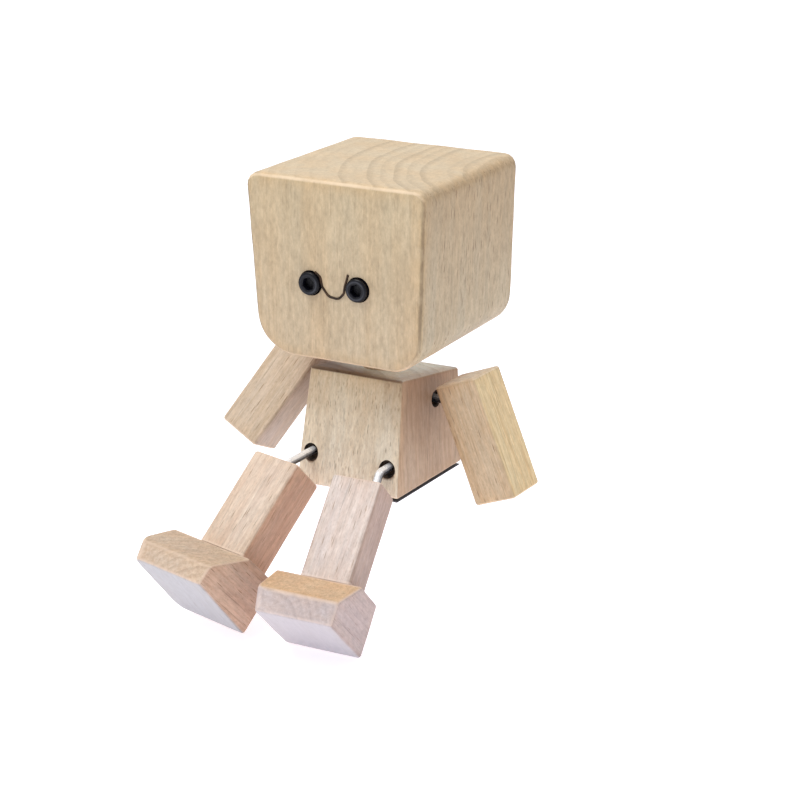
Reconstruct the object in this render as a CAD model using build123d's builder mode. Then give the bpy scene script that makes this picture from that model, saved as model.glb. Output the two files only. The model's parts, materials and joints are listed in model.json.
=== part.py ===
from build123d import *
import math
import os

# A small seated block figure in beech: a big cube head with a screw-eyed face, a
# wedge body, and arms and legs that hang on bent steel pins.
# Millimetres. +Z is up, the figure faces -Y, and its left hand is on +X.
# The origin is the middle of the body's seat face. The pose is seated on a ledge.

# Body: a wedge, narrower and shallower at the top, lower at the back
BODY_WIDTH_BOTTOM = 29.0
BODY_WIDTH_TOP = 26.0
BODY_DEPTH = 31.0
BODY_FRONT_HEIGHT = 29.0
BODY_BACK_HEIGHT = 25.0
BODY_FRONT_SETBACK = 4.7
BODY_TOP_LEAN = 0.8
BODY_EDGE = 0.8

# Head: a block that is narrower at the chin, most on its right side
HEAD_WIDTH_TOP = 46.4
HEAD_CHIN_LEFT = 22.2
HEAD_CHIN_RIGHT = 20.2
HEAD_DEPTH = 48.6
HEAD_HEIGHT = 42.4
HEAD_BOTTOM_Z = 35.1
HEAD_OFFSET = (0.9, 0.3)
HEAD_TURN = 3.4
HEAD_CHIN_LEFT_ROUND = 7.8
HEAD_CHIN_RIGHT_ROUND = 10.0
HEAD_TOP_ROUND = 3.0
HEAD_EDGE_ROUND = 2.0

# Neck dowel, fixed in the body; the head turns on it
NECK_RADIUS = 4.0
NECK_BOTTOM_Z = 17.0
NECK_IN_HEAD = 10.0

# Face: two M3 socket cap screws, sunk part way into the head, and a thin wire
EYE_SPACING = 12.3
EYE_HEIGHT = 18.3
SCREW_HEAD_RADIUS = 2.75
SCREW_HEAD_LENGTH = 3.0
SCREW_HEAD_SUNK = 1.8
SCREW_SHANK_RADIUS = 1.5
SCREW_SHANK_LENGTH = 9.0
SCREW_HEX = 2.5
SCREW_HEX_DEPTH = 1.6
SCREW_RIM_ROUND = 0.4
SMILE_WIRE_RADIUS = 0.28
# The wire's path on the face, as (across, height above the chin), and its bends' radii
SMILE_PATH = [
    (-4.7, 21.05),
    (-3.3, 20.0),
    (-2.9, 17.9),
    (-1.2, 15.75),
    (1.4, 15.4),
    (2.75, 16.9),
    (3.0, 18.4),
    (3.9, 21.5),
]
SMILE_BENDS = [0.8, 1.4, 1.8, 1.6, 1.2, 2.0]

# Wire pins and the holes they turn in
PIN_RADIUS = 1.0
PIN_BEND_RADIUS = 2.2
RUNNING_CLEARANCE = 0.05
HOLE_MOUTH_RADIUS = 2.0
HOLE_MOUTH_DEPTH = 1.2
HOLE_END_GAP = 0.5

# Arms, hung on pins that leave the sides of the body
ARM_WIDTH = 11.8
ARM_DEPTH = 11.8
ARM_EDGE = 0.8
ARM_ABOVE_PIN = 6.2
SHOULDER_Y = 4.0
SHOULDER_Z = 20.5
SHOULDER_PIN_IN_BODY = 8.0
SHOULDER_PIN_OUT = 5.6
SHOULDER_PIN_TO_ARM = 1.2
SHOULDER_PIN_IN_ARM = 8.0

# Legs, hung on pins that leave the front of the body
LEG_LENGTH = 25.5
LEG_EDGE = 0.7
HIP_X = 10.85
HIP_Z = 7.75
HIP_PIN_IN_BODY = 10.0
HIP_PIN_IN_LEG = 10.0

# Feet, glued under the legs
FOOT_LEFT_REACH = 9.6
FOOT_TOE = 15.8
FOOT_HEEL = 7.2
FOOT_TOE_DROP = 7.7
FOOT_INSTEP = 5.0
FOOT_EDGE = 0.7

# How each limb hangs: the figure's left side is side +1, its right side -1.
# Angles are in degrees, a pin's run is the straight length before its bend, and an
# arm's shift is how far its block sits up and across from its pin. A leg's offset
# from its pin, its size and its shift over its foot are across and then backwards.
# A foot reaches to its right by less at the sole than at the ankle, and its sole
# drops towards the heel.
LIMBS = {
    "left": {
        "side": 1,
        "arm_bend": 22.7,
        "arm_forward": -0.3,
        "arm_turn": 0.0,
        "arm_yaw": -3.1,
        "arm_shift": (-0.4, 2.1),
        "arm_length": 30.0,
        "hip_run": 3.3,
        "hip_bend": 47.0,
        "hip_to_leg": 4.8,
        "hip_swing": -6.8,
        "leg_turn": 11.8,
        "leg_offset": (-1.8, -2.9),
        "leg_size": (12.5, 10.6),
        "leg_shift": (0.0, 0.55),
        "sole_reach": 9.6,
        "ankle_reach": 12.2,
        "sole_drop_at_toe": 13.3,
        "sole_drop_at_heel": 13.3,
        "toe_round": 1.7,
        "toe_corner_round": 1.9,
        "heel_corner_round": 1.0,
    },
    "right": {
        "side": -1,
        "arm_bend": 25.5,
        "arm_forward": 20.7,
        "arm_turn": 5.9,
        "arm_yaw": 4.0,
        "arm_shift": (-1.0, -0.6),
        "arm_length": 29.0,
        "hip_run": 9.4,
        "hip_bend": 43.5,
        "hip_to_leg": 1.0,
        "hip_swing": 10.4,
        "leg_turn": -12.5,
        "leg_offset": (0.0, 0.0),
        "leg_size": (13.9, 11.0),
        "leg_shift": (-0.25, 0.75),
        "sole_reach": 12.1,
        "ankle_reach": 15.8,
        "sole_drop_at_toe": 12.6,
        "sole_drop_at_heel": 14.3,
        "toe_round": 2.9,
        "toe_corner_round": 3.2,
        "heel_corner_round": 4.0,
    },
}

BORE_RADIUS = PIN_RADIUS + RUNNING_CLEARANCE
X_DIRECTION = Vector(1, 0, 0)
ORIGIN = (0, 0, 0)


def turned(vector, axis_direction, degrees):
    """A direction turned about an axis through the origin, by the right-hand rule."""
    return vector.rotate(Axis(ORIGIN, axis_direction), degrees)


def body_front_y(height):
    """Where the body's leaning front face is at a height."""
    return -BODY_DEPTH / 2 + BODY_FRONT_SETBACK * height / BODY_FRONT_HEIGHT


def body_side_x(height):
    """Half the body's width at a height."""
    narrowing = (BODY_WIDTH_BOTTOM - BODY_WIDTH_TOP) / 2
    return BODY_WIDTH_BOTTOM / 2 - narrowing * height / BODY_FRONT_HEIGHT


def hip_frame(limb):
    """The hip hole's mouth, the pin's bend, and the plane of the leg's top end."""
    mouth = Vector(limb["side"] * HIP_X, body_front_y(HIP_Z), HIP_Z)
    bend = mouth + Vector(0, -limb["hip_run"], 0)
    angle = math.radians(limb["hip_bend"])
    down = turned(Vector(0, -math.cos(angle), -math.sin(angle)), (0, 1, 0), limb["hip_swing"])
    across = turned(X_DIRECTION, (0, 1, 0), limb["hip_swing"])
    across = turned(across, down * -1, limb["leg_turn"])
    pin_entry = Plane(bend + down * limb["hip_to_leg"], x_dir=across, z_dir=down * -1)
    across_offset, back_offset = limb["leg_offset"]
    leg_middle = pin_entry.from_local_coords((across_offset, back_offset, 0))
    leg_top = Plane(leg_middle, x_dir=across, z_dir=down * -1)
    return mouth, bend, down, leg_top


def shoulder_frame(limb):
    """The shoulder hole's mouth, the pin's bend and end direction, and the arm's plane."""
    side = limb["side"]
    mouth = Vector(side * body_side_x(SHOULDER_Z), SHOULDER_Y, SHOULDER_Z)
    bend = mouth + Vector(side * SHOULDER_PIN_OUT, 0, 0)
    lift = -side * limb["arm_bend"]
    outward = turned(Vector(side, 0, 0), (0, 1, 0), lift)
    outward = turned(outward, (1, 0, 0), -limb["arm_forward"])
    upward = turned(Vector(0, 0, 1), (0, 1, 0), lift)
    upward = turned(upward, (1, 0, 0), -limb["arm_forward"])
    upward = turned(upward, outward, -side * limb["arm_turn"])
    outward = turned(outward, upward, limb["arm_yaw"])
    inner_face = bend + outward * SHOULDER_PIN_TO_ARM
    arm_plane = Plane(inner_face, x_dir=upward, z_dir=outward)
    return mouth, bend, outward, arm_plane


def make_bent_pin(start, bend, end):
    """A round steel pin along two straight runs with a rounded bend between them."""
    with BuildPart() as pin:
        with BuildLine():
            FilletPolyline(start, bend, end, radius=PIN_BEND_RADIUS)
        with BuildSketch(Plane(start, z_dir=bend - start)):
            Circle(PIN_RADIUS)
        sweep()
    return pin.part


def make_body():
    """The wedge-shaped body with its hip, shoulder and neck holes."""
    front_top_y = body_front_y(BODY_FRONT_HEIGHT)
    side_profile = [
        (-BODY_DEPTH / 2, 0),
        (BODY_DEPTH / 2, 0),
        (BODY_DEPTH / 2, BODY_FRONT_HEIGHT),
        (front_top_y, BODY_FRONT_HEIGHT),
    ]
    top = Plane(
        (-BODY_WIDTH_TOP / 2, front_top_y, BODY_FRONT_HEIGHT),
        x_dir=(BODY_WIDTH_TOP, 0, -BODY_TOP_LEAN),
        z_dir=Vector(BODY_WIDTH_TOP, 0, -BODY_TOP_LEAN).cross(
            Vector(0, BODY_DEPTH / 2 - front_top_y, BODY_BACK_HEIGHT - BODY_FRONT_HEIGHT)
        ),
    )
    front_profile = [
        (-BODY_WIDTH_BOTTOM / 2, 0),
        (BODY_WIDTH_BOTTOM / 2, 0),
        (BODY_WIDTH_TOP / 2, BODY_FRONT_HEIGHT),
        (-BODY_WIDTH_TOP / 2, BODY_FRONT_HEIGHT),
    ]
    with BuildPart() as body:
        with BuildSketch(Plane.YZ):
            Polygon(*side_profile, align=None)
        extrude(amount=BODY_WIDTH_BOTTOM / 2, both=True)
        with BuildSketch(Plane.XZ):
            Polygon(*front_profile, align=None)
        extrude(amount=BODY_DEPTH / 2, both=True, mode=Mode.INTERSECT)
        split(bisect_by=top, keep=Keep.BOTTOM)
        fillet(body.edges(), BODY_EDGE)

        with BuildSketch(Plane.XY.offset(NECK_BOTTOM_Z)):
            Circle(NECK_RADIUS)
        extrude(amount=BODY_FRONT_HEIGHT, mode=Mode.SUBTRACT)

        for limb in LIMBS.values():
            hip = hip_frame(limb)[0]
            shoulder = shoulder_frame(limb)[0]
            hip_hole = Plane(hip, z_dir=(0, -1, 0))
            shoulder_hole = Plane(shoulder, z_dir=(limb["side"], 0, 0))
            for hole, depth in ((hip_hole, HIP_PIN_IN_BODY), (shoulder_hole, SHOULDER_PIN_IN_BODY)):
                with BuildSketch(hole.offset(-depth - HOLE_END_GAP)):
                    Circle(BORE_RADIUS)
                extrude(amount=depth + 2 * HOLE_MOUTH_DEPTH, mode=Mode.SUBTRACT)
                with BuildSketch(hole.offset(-HOLE_MOUTH_DEPTH)):
                    Circle(HOLE_MOUTH_RADIUS)
                extrude(amount=2 * HOLE_MOUTH_DEPTH, mode=Mode.SUBTRACT)
    return body.part


def make_neck_dowel():
    """The beech dowel between body and head."""
    with BuildPart() as neck_dowel:
        with BuildSketch(Plane.XY.offset(NECK_BOTTOM_Z)):
            Circle(NECK_RADIUS)
        extrude(amount=HEAD_BOTTOM_Z + NECK_IN_HEAD - NECK_BOTTOM_Z)
    return neck_dowel.part


def head_plane(height):
    """A level plane turned with the head, at a height above its underside."""
    base = Plane((HEAD_OFFSET[0], HEAD_OFFSET[1], HEAD_BOTTOM_Z + height))
    return base.rotated((0, 0, HEAD_TURN))


def face_plane():
    """The plane of the face: X across, Y up from the chin line, Z out of the face."""
    level = head_plane(0)
    return Plane(
        level.origin - level.y_dir * (HEAD_DEPTH / 2),
        x_dir=level.x_dir,
        z_dir=level.y_dir * -1,
    )


def make_smile_wire():
    """A thin dark wire that follows one eye's rim, dips, and ends in a stub by the other."""
    face = face_plane()
    points = [face.from_local_coords(point + (0,)) for point in SMILE_PATH]
    with BuildPart() as wire:
        with BuildLine():
            FilletPolyline(*points, radius=SMILE_BENDS)
        with BuildSketch(Plane(points[0], z_dir=points[1] - points[0])):
            Circle(SMILE_WIRE_RADIUS)
        sweep()
    return wire.part


def eye_plane(side):
    """The plane under an eye screw's head, at the bottom of its counterbore."""
    face = face_plane()
    seat = face.from_local_coords((side * EYE_SPACING / 2, EYE_HEIGHT, -SCREW_HEAD_SUNK))
    return Plane(seat, x_dir=face.x_dir, z_dir=face.z_dir)


def make_eye_screw(side):
    """A socket cap screw whose head stands a little proud of the face."""
    seat = eye_plane(side)
    with BuildPart() as screw:
        with BuildSketch(seat.offset(-SCREW_SHANK_LENGTH)):
            Circle(SCREW_SHANK_RADIUS)
        extrude(amount=SCREW_SHANK_LENGTH)
        with BuildSketch(seat):
            Circle(SCREW_HEAD_RADIUS)
        extrude(amount=SCREW_HEAD_LENGTH)
        rim = screw.faces().filter_by(seat).sort_by(Axis.Y)[0].edges()
        fillet(rim, SCREW_RIM_ROUND)
        with BuildSketch(seat.offset(SCREW_HEAD_LENGTH - SCREW_HEX_DEPTH)):
            RegularPolygon(SCREW_HEX / 2, 6, major_radius=False)
        extrude(amount=SCREW_HEX_DEPTH, mode=Mode.SUBTRACT)
    return screw.part


def make_head(smile_wire):
    """The head block, rounded at the chin sides, bored for the neck and drilled for the eyes."""
    face = face_plane()
    with BuildPart() as head:
        with BuildSketch(face) as front:
            Polygon(
                (-HEAD_CHIN_RIGHT, 0),
                (HEAD_CHIN_LEFT, 0),
                (HEAD_WIDTH_TOP / 2, HEAD_HEIGHT),
                (-HEAD_WIDTH_TOP / 2, HEAD_HEIGHT),
                align=None,
            )
            fillet(front.vertices().group_by(Axis.Y)[-1], HEAD_TOP_ROUND)
            fillet(front.vertices().group_by(Axis.Y)[0].sort_by(Axis.X)[0], HEAD_CHIN_RIGHT_ROUND)
            fillet(front.vertices().group_by(Axis.Y)[0].sort_by(Axis.X)[-1], HEAD_CHIN_LEFT_ROUND)
        extrude(amount=-HEAD_DEPTH)
        ends = head.faces().filter_by(face)
        fillet(ends.edges(), HEAD_EDGE_ROUND)

        with BuildSketch(Plane.XY.offset(HEAD_BOTTOM_Z)):
            Circle(NECK_RADIUS + RUNNING_CLEARANCE)
        extrude(amount=NECK_IN_HEAD, mode=Mode.SUBTRACT)
        for side in (-1, 1):
            seat = eye_plane(side)
            with BuildSketch(seat.offset(-SCREW_SHANK_LENGTH - HOLE_END_GAP)):
                Circle(SCREW_SHANK_RADIUS)
            extrude(amount=SCREW_SHANK_LENGTH + HOLE_END_GAP, mode=Mode.SUBTRACT)
            with BuildSketch(seat):
                Circle(SCREW_HEAD_RADIUS)
            extrude(amount=SCREW_HEAD_LENGTH, mode=Mode.SUBTRACT)
        add(smile_wire, mode=Mode.SUBTRACT)
    return head.part


def make_hip_pin(limb):
    """The bent pin between the body and a leg."""
    mouth, bend, down, _ = hip_frame(limb)
    start = mouth + Vector(0, HIP_PIN_IN_BODY, 0)
    end = bend + down * (limb["hip_to_leg"] + HIP_PIN_IN_LEG)
    return make_bent_pin(start, bend, end)


def make_shoulder_pin(limb):
    """The bent pin between the body and an arm."""
    mouth, bend, outward, _ = shoulder_frame(limb)
    start = mouth - Vector(limb["side"] * SHOULDER_PIN_IN_BODY, 0, 0)
    end = bend + outward * (SHOULDER_PIN_TO_ARM + SHOULDER_PIN_IN_ARM)
    return make_bent_pin(start, bend, end)


def make_leg(limb):
    """A flat leg block with the pin's bore in its top end."""
    top = hip_frame(limb)[3]
    with BuildPart() as leg:
        with BuildSketch(top):
            with Locations(limb["leg_shift"]):
                Rectangle(*limb["leg_size"])
        extrude(amount=-LEG_LENGTH)
        sides = leg.edges().filter_by(Axis(ORIGIN, top.z_dir))
        upper = leg.faces().filter_by(top).sort_by(Axis(top.origin, top.z_dir))[-1]
        fillet(sides + upper.edges(), LEG_EDGE)
        with BuildSketch(top.offset(-HIP_PIN_IN_LEG - HOLE_END_GAP)):
            across, back = limb["leg_offset"]
            with Locations((-across, -back)):
                Circle(BORE_RADIUS)
        extrude(amount=HIP_PIN_IN_LEG + HOLE_END_GAP, mode=Mode.SUBTRACT)
    return leg.part


def make_foot(limb):
    """A foot block with a sloping instep, a short heel and a flared, rounded right side."""
    ankle = hip_frame(limb)[3].offset(-LEG_LENGTH)
    toe_bottom = limb["sole_drop_at_toe"]
    heel_bottom = limb["sole_drop_at_heel"]
    with BuildPart() as foot:
        with BuildSketch(Plane(ankle.origin, x_dir=ankle.y_dir, z_dir=ankle.x_dir)):
            Polygon(
                (FOOT_HEEL, 0),
                (-FOOT_INSTEP, 0),
                (-FOOT_TOE, -FOOT_TOE_DROP),
                (-FOOT_TOE, -toe_bottom),
                (FOOT_HEEL, -heel_bottom),
                align=None,
            )
        extrude(amount=limb["ankle_reach"], both=True)
        with BuildSketch(Plane(ankle.origin, x_dir=ankle.x_dir, z_dir=ankle.y_dir * -1)):
            Polygon(
                (-limb["sole_reach"], -heel_bottom),
                (FOOT_LEFT_REACH, -heel_bottom),
                (FOOT_LEFT_REACH, 0),
                (-limb["ankle_reach"], 0),
                align=None,
            )
        extrude(amount=FOOT_TOE, both=True, mode=Mode.INTERSECT)
        toe_to_heel = Axis(ankle.origin, ankle.y_dir)
        right_side = foot.faces().sort_by(Axis(ankle.origin, ankle.x_dir))[0]
        fillet(right_side.edges().sort_by(toe_to_heel)[0], limb["toe_corner_round"])
        right_side = foot.faces().sort_by(Axis(ankle.origin, ankle.x_dir))[0]
        fillet(right_side.edges().sort_by(toe_to_heel)[-1], limb["heel_corner_round"])
        across = foot.edges().filter_by(Axis(ORIGIN, ankle.x_dir))
        toe_top = across.sort_by(Axis(ankle.origin, ankle.y_dir))[0:2]
        toe_top = toe_top.sort_by(Axis(ankle.origin, ankle.z_dir))[-1]
        fillet(toe_top, limb["toe_round"])
        fillet(foot.edges(), FOOT_EDGE)
    return foot.part


def make_arm(limb):
    """A square arm block with the pin's bore in its inner face."""
    inner = shoulder_frame(limb)[3]
    with BuildPart() as arm:
        with BuildSketch(inner):
            up_shift, across_shift = limb["arm_shift"]
            length = limb["arm_length"]
            with Locations((ARM_ABOVE_PIN - length / 2 + up_shift, across_shift)):
                Rectangle(length, ARM_DEPTH)
        extrude(amount=ARM_WIDTH)
        fillet(arm.edges(), ARM_EDGE)
        with BuildSketch(inner):
            Circle(BORE_RADIUS)
        extrude(amount=SHOULDER_PIN_IN_ARM + HOLE_END_GAP, mode=Mode.SUBTRACT)
    return arm.part


def write_piece(name, piece):
    """Label a finished piece and write it to its own file."""
    piece.label = name
    export_step(piece, f"parts/{name}.step")


os.makedirs("parts", exist_ok=True)

smile = make_smile_wire()
write_piece("torso", make_body())
write_piece("neck_dowel", make_neck_dowel())
write_piece("head", make_head(smile))
write_piece("smile_wire", smile)
for name, limb in LIMBS.items():
    write_piece(f"{name}_eye_screw", make_eye_screw(limb["side"]))
    write_piece(f"{name}_shoulder_pin", make_shoulder_pin(limb))
    write_piece(f"{name}_arm", make_arm(limb))
    write_piece(f"{name}_hip_pin", make_hip_pin(limb))
    write_piece(f"{name}_leg", make_leg(limb))
    write_piece(f"{name}_foot", make_foot(limb))
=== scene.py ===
import json
import math

import bpy
import numpy as np
from mathutils import Matrix, Vector, noise


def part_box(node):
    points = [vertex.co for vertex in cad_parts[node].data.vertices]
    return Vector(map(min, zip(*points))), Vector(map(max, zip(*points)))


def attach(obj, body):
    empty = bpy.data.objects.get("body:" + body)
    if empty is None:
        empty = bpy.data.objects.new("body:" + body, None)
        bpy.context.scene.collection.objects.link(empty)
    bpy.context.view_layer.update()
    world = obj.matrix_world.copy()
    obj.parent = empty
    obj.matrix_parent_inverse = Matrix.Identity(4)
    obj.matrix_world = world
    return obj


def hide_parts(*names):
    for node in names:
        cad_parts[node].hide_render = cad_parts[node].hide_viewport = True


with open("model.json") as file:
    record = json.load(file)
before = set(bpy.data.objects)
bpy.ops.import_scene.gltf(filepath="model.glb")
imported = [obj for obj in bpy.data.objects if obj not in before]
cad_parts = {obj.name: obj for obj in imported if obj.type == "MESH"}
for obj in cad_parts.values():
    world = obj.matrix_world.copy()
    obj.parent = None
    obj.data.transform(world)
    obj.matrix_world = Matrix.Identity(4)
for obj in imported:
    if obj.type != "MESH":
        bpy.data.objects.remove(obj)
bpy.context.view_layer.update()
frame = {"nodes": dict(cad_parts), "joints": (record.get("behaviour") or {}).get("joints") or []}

# A small block figure in beech, seated on a plinth. Metres, +Z up, the figure faces -Y.
# Every wooden block is rebuilt here as a hand-sanded mesh on the faces of its CAD node.

MM = 0.001
JOINTS = {joint["name"]: joint for joint in frame["joints"]}

# Camera
CAMERA_AZIMUTH = 31.29
CAMERA_ELEVATION = 19.2
CAMERA_ROLL = 0.29
CAMERA_DISTANCE = 463.4 * MM
CAMERA_AIM_RIGHT = 4.84 * MM
CAMERA_AIM_UP = 18.7 * MM
CAMERA_LENS = 85.8
SENSOR = 36.0

# How sharply one face's cast gives way to the next, and a gap for a block with no neighbour
TINT_SHARPNESS = 10
FAR_AWAY = 99.0

# What counts as one flat face of a CAD node: its least share of the surface, the cosine of the
# angle that its triangles may be bent by, and how far they may be off its plane
FLAT_SHARE = 0.015
FLAT_TRIES = 40
FLAT_COSINE = 0.9998
FLAT_STEP = 0.02 * MM

# Blocks: how finely they are divided, and how uneven the sanding left them
CELL = 1.1 * MM
ARC_CELLS = 5
EDGE_ROUND = 0.75 * MM
HEAD_EDGE_ROUND = 1.4 * MM
LONG_EDGE_SHARE = 1.2
HEAD_TOP_ROUND = 3.0 * MM
HEAD_LEFT_CHIN_ROUND = 7.8 * MM
HEAD_RIGHT_CHIN_ROUND = 10.0 * MM
ARRIS_VARIES = 0.22
ARRIS_WAVE_LENGTH = 7 * MM
FACE_WAVE = 0.05 * MM
FACE_WAVE_LENGTH = 9.0 * MM
SMOOTH_BELOW = math.radians(38)

# How far each foot's top edge, toe corner and heel corner are rolled off
FOOT_ROUNDS = {
    "left": (1.7 * MM, 1.9 * MM, 1.0 * MM),
    "right": (2.9 * MM, 3.2 * MM, 4.0 * MM),
}

# Holes
HOLE_MOUTH_RADIUS = 2.0 * MM
HOLE_MOUTH_DEPTH = 1.2 * MM
HOLE_CHAMFER = 0.18 * MM
CUTTER_STANDS_OUT = 3 * MM
LATHE_STEPS = 64
BORE_RADIUS = 1.06 * MM
BORE_DEPTH = 10.6 * MM
ARM_BORE_DEPTH = 9.6 * MM
NECK_BORE_RADIUS = 4.06 * MM
NECK_BORE_DEPTH = 10 * MM
SCREW_BORE_RADIUS = 2.85 * MM

# Eye screws: how deep the head is sunk, and its profile from the hidden end to the socket's
# floor, as (height above the face, radius, kind of row), in millimetres
SCREW_SUNK = 1.8 * MM
SCREW_STEPS = 96
KNURL_DEPTH = 0.07
SOCKET_TURN = 0.3
SMOOTH, KNURL, HEXAGON = "smooth", "knurl", "hexagon"
SCREW_PROFILE = (
    (-1.80, 0.01, SMOOTH), (-1.80, 2.68, SMOOTH), (-1.80, 2.72, KNURL), (0.72, 2.72, KNURL),
    (0.86, 2.70, SMOOTH), (1.02, 2.60, SMOOTH), (1.12, 2.44, SMOOTH), (1.17, 2.25, SMOOTH),
    (1.18, 2.05, SMOOTH), (1.18, 1.80, SMOOTH), (1.12, 1.66, HEXAGON), (1.00, 1.56, HEXAGON),
    (-0.55, 1.54, HEXAGON), (-0.75, 0.01, SMOOTH),
)

# The body's top leans above this height, and carries a painted shadow of the head from its front
# right corner: the direction across the top, how far the dark part reaches, how far it fades, and
# its shade
LEAN_FROM = 22.8 * MM
HEAD_SHADOW_ACROSS = (0.45, 0.90)
HEAD_SHADOW_REACH = 10.0 * MM
HEAD_SHADOW_FADE = 7.0 * MM
HEAD_SHADOW_COLOUR = (0.24, 0.15, 0.10)

# Stage and lights
FLOOR_LOW = (-6.0, -6.0)
FLOOR_HIGH = (6.0, 6.0)
FLOOR_GAP = 0.4 * MM
PLINTH_INSET = 0.35 * MM
STAGE_GLOW = 0.52
SURROUND = 0.76
KEY_TOWARDS = (-0.22, -0.36, 0.9)
KEY_DISTANCE = 0.7
KEY_SIZE = 0.40
KEY_POWER = 2.6
KEY_COLOUR = (1.0, 0.985, 0.96)
KEY_AIM = (0, -0.01, 0.03)

# Directions, in the figure's own frame: it faces -Y, and its feet hang tilted
SIDES = ("left", "right")
UP = (0, 0, 1)
UNDER = (0, 0, -1)
FRONT = (0, -1, 0)
BACK = (0, 1, 0)
LEFT = (1, 0, 0)
RIGHT = (-1, 0, 0)
UP_FRONT = (0, -1, 1)
TOE_TOP = (0, -0.4, 1)
ASKEW = (0.3, 0.5, 0.8)
TOEWARD = (0, -0.73, 0.68)
SOLEWARD = (0, -0.68, -0.73)


# ---- geometry helpers

def unit(vector):
    """A direction of length one."""
    vector = np.asarray(vector, float)
    return vector / np.linalg.norm(vector)


def flat_faces(node):
    """The large flat faces of a CAD node, as (outward normal, distance from the origin)."""
    polygons = frame["nodes"][node].data.polygons
    normals = np.array([polygon.normal[:] for polygon in polygons])
    centres = np.array([polygon.center[:] for polygon in polygons])
    areas = np.array([polygon.area for polygon in polygons])
    offsets = (normals * centres).sum(axis=1)
    least = areas.sum() * FLAT_SHARE
    left = areas.copy()
    found = []
    for _ in range(FLAT_TRIES):
        pick = int(np.argmax(left))
        same = (normals @ normals[pick] > FLAT_COSINE) & (abs(offsets - offsets[pick]) < FLAT_STEP)
        if areas[same].sum() > least:
            found.append((unit(normals[pick]), float(offsets[pick])))
        left[same] = 0
    return found


def crossing(first, second, inset=0.0):
    """Where two lines of an outline meet, each moved inward by inset."""
    lines = np.array([first[0], second[0]])
    return np.linalg.solve(lines, [first[1] - inset, second[1] - inset])


class Block:
    """A prism on a CAD node's flat faces, with rounded corners and rounded ends.

    The low end can also be rolled off towards some of its sides, by a radius each.
    """

    def __init__(self, node, along, rounds=(), edge=EDGE_ROUND, end_rounds=None, rolls=()):
        faces = flat_faces(node)
        along = unit(along)
        self.axis = max((normal for normal, _ in faces), key=lambda normal: normal @ along)
        sides = [face for face in faces if abs(face[0] @ self.axis) < 0.5]
        self.right = unit(sides[0][0] - self.axis * (sides[0][0] @ self.axis))
        self.up = np.cross(self.axis, self.right)
        self.low = min(faces, key=lambda face: face[0] @ self.axis)
        self.high = max(faces, key=lambda face: face[0] @ self.axis)
        flat = [((n @ self.right, n @ self.up), d) for n, d in sides]
        self.sides = sorted(flat, key=lambda side: math.atan2(side[0][1], side[0][0]))
        self.edge = edge
        self.end_rounds = end_rounds or (edge, edge)
        self.rounds = [edge * LONG_EDGE_SHARE] * len(self.sides)
        for direction, radius in rounds:
            self.rounds[self.corner_towards(direction)] = radius
        self.rolls = [(self.side_towards(direction), radius) for direction, radius in rolls]

    def side_towards(self, direction):
        """The side whose normal is nearest to a direction."""
        aim = np.array([np.dot(direction, self.right), np.dot(direction, self.up)])
        return max(self.sides, key=lambda side: np.array(side[0]) @ aim)

    def corner_towards(self, direction):
        """The corner that points most nearly in a direction."""
        aim = np.array([np.dot(direction, self.right), np.dot(direction, self.up)])
        pairs = zip(self.sides, self.sides[1:] + self.sides[:1])
        return int(np.argmax([unit(np.add(a[0], b[0])) @ unit(aim) for a, b in pairs]))

    def arc(self, corner):
        """A rounded corner as (centre, radius, first normal, last normal)."""
        first = self.sides[corner]
        second = self.sides[(corner + 1) % len(self.sides)]
        radius = self.rounds[corner]
        return crossing(first, second, radius), radius, np.array(first[0]), np.array(second[0])

    def place(self, flat, height):
        """A point of the block's own frame in the figure's frame."""
        return flat[..., :1] * self.right + flat[..., 1:] * self.up + height[..., None] * self.axis

    def end_height(self, face, flat):
        """How far along the axis an end face is, over a point of the outline's plane."""
        normal, distance = face
        across = flat[..., 0] * (normal @ self.right) + flat[..., 1] * (normal @ self.up)
        height = (distance - across) / (normal @ self.axis)
        for (side_normal, side_distance), radius in self.rolls if face is self.low else ():
            depth = side_distance - flat[..., 0] * side_normal[0] - flat[..., 1] * side_normal[1]
            reach = radius - np.clip(depth, 0, radius)
            height = height + radius - np.sqrt(radius ** 2 - reach ** 2)
        return height


def arc_samples(arc, start, stop, cells):
    """Points and normals on part of a rounded corner, from start to stop of its turn."""
    centre, radius, first, last = arc
    turn = math.acos(np.clip(first @ last, -1, 1))
    samples = []
    for step in range(cells):
        angle = turn * (start + (stop - start) * step / cells)
        normal = (first * math.sin(turn - angle) + last * math.sin(angle)) / math.sin(turn)
        samples.append((centre + normal * radius, normal))
    return samples


def line_samples(before, after, cells):
    """Points and normals on the straight side between two rounded corners."""
    start = before[0] + before[3] * before[1]
    stop = after[0] + after[2] * after[1]
    return [(start + (stop - start) * step / cells, before[3]) for step in range(cells)]


def run_plans(block, turns):
    """The outline as four runs between its four sharpest corners, each a list of pieces."""
    count = len(block.sides)
    patch_corners = sorted(sorted(range(count), key=lambda corner: -turns[corner])[:4])
    plans = []
    for here, there in zip(patch_corners, patch_corners[1:] + [patch_corners[0] + count]):
        plan = [("arc", here, 0.5, 1.0)]
        for corner in range(here + 1, there + 1):
            plan.append(("line", corner - 1, corner))
            plan.append(("arc", corner, 0.0, 0.5 if corner == there else 1.0))
        plans.append(plan)
    return plans


def cells_on(piece, arcs, turns):
    """How many cells one piece of a run is divided into."""
    count = len(arcs)
    arc = arcs[piece[1] % count]
    if piece[0] == "line":
        after = arcs[piece[2] % count]
        length = np.linalg.norm(after[0] + after[2] * after[1] - arc[0] - arc[3] * arc[1])
        return max(2, round(length / CELL))
    share = piece[3] - piece[2]
    length = arc[1] * turns[piece[1] % count] * share
    return max(round(ARC_CELLS * share), round(length / CELL))


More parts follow.
